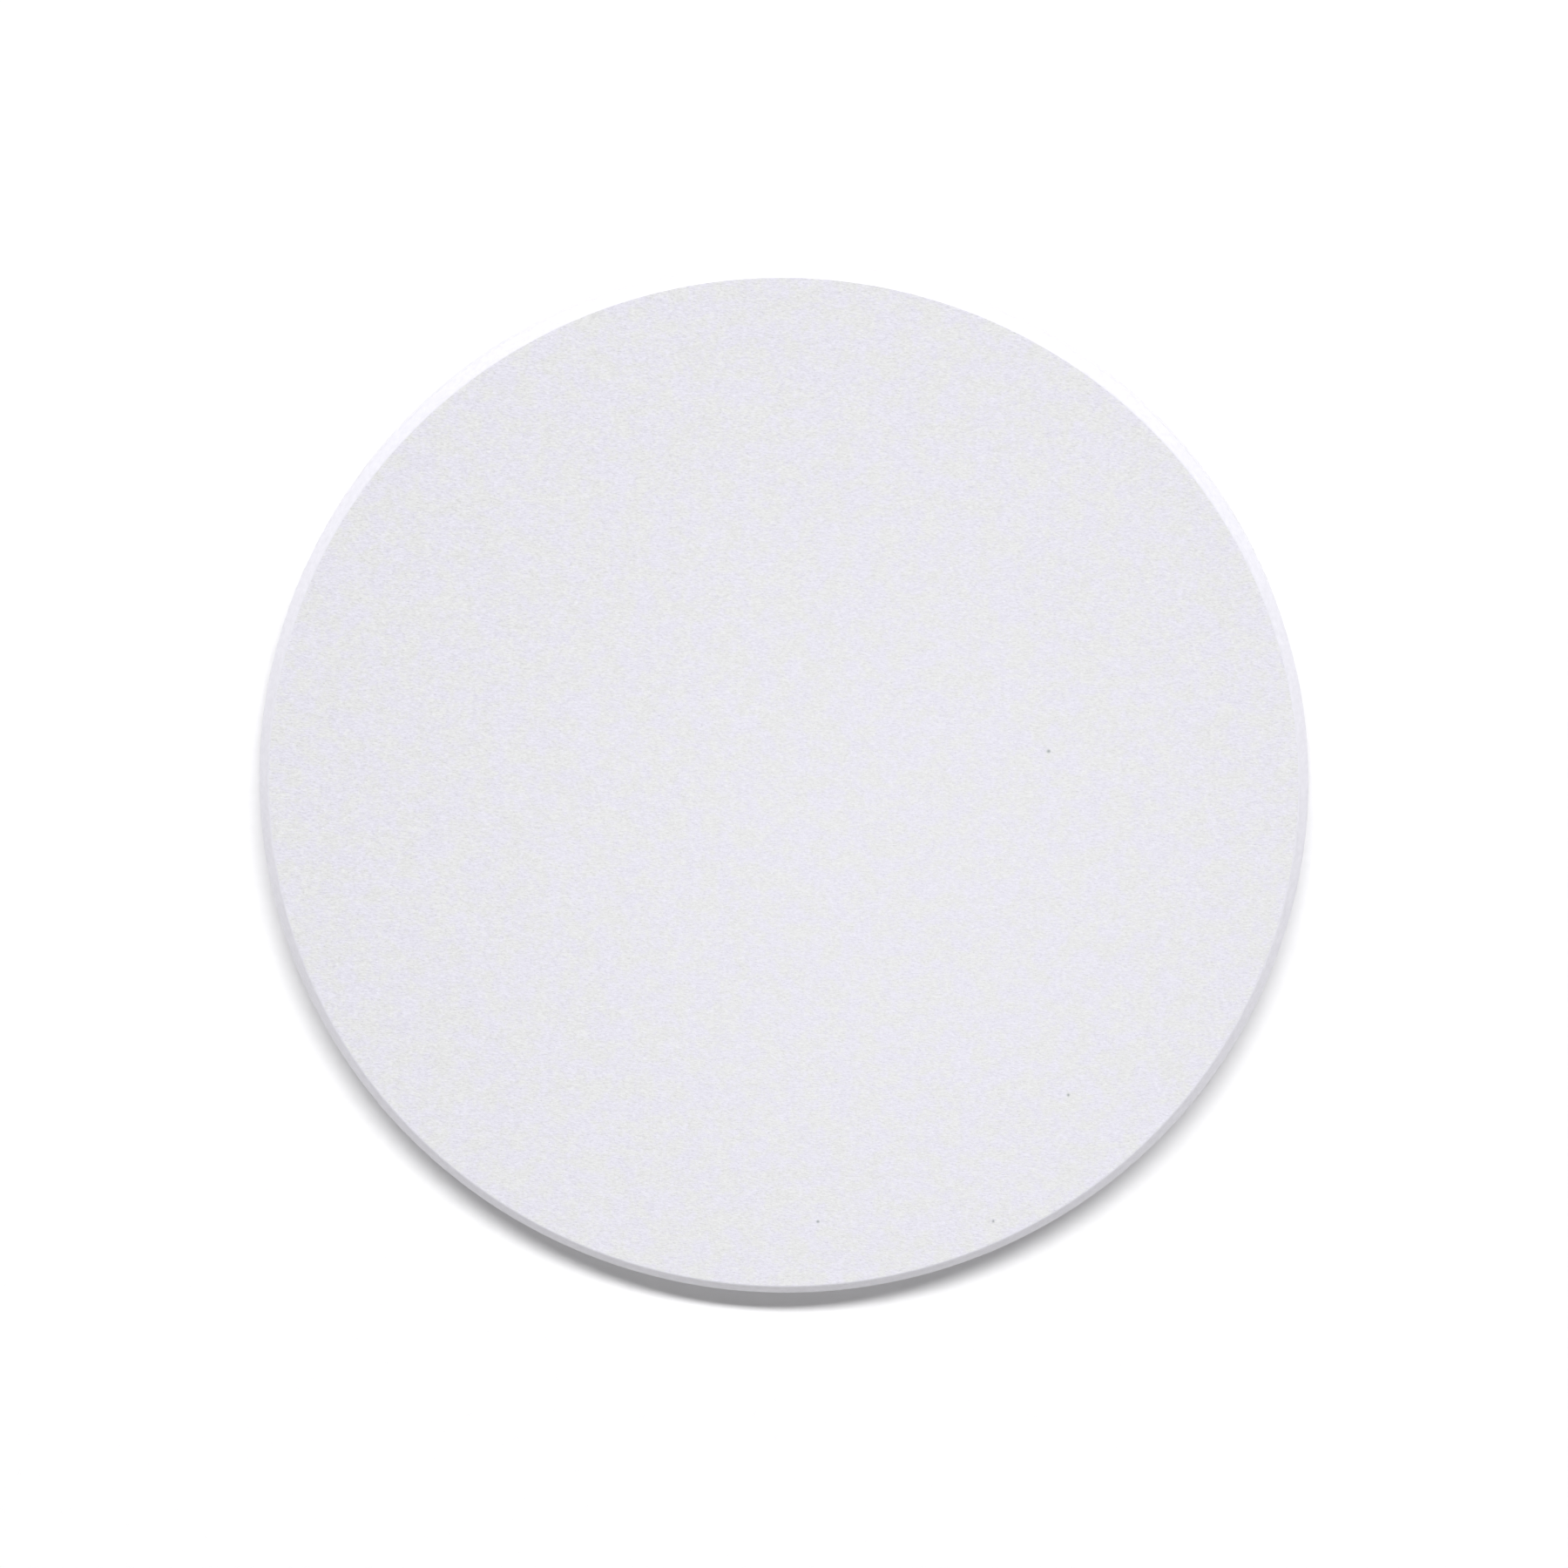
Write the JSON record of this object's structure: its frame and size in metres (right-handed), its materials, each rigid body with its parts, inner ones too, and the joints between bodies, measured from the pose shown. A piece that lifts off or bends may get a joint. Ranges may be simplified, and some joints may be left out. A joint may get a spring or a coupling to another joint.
{
  "type": "dealer button",
  "caption": "Blank white round dealer button with bevelled rims, a weighted token that marks the dealer's place at a card table.",
  "frame": {"origin": "middle of the underside, on the surface that the button lies on", "axes": "+Z is the button's axis, out of the upper face; the posts of the lower half lie at 30, 150 and 270 degrees from +X"},
  "size_m": [0.06, 0.06, 0.0036],
  "materials": {
    "satin_face": "fine satin grain with a faint sparkle",
    "moulded_body": "smooth moulded and turned plastic, semi-matt",
    "steel_weight": "zinc-plated stamped steel, tumbled"
  },
  "bodies": {
    "root": {"lower_face_disc": "satin_face", "lower_shell": "moulded_body", "weight_slug": "steel_weight", "upper_shell": "moulded_body", "upper_face_disc": "satin_face"}
  },
  "joints": []
}
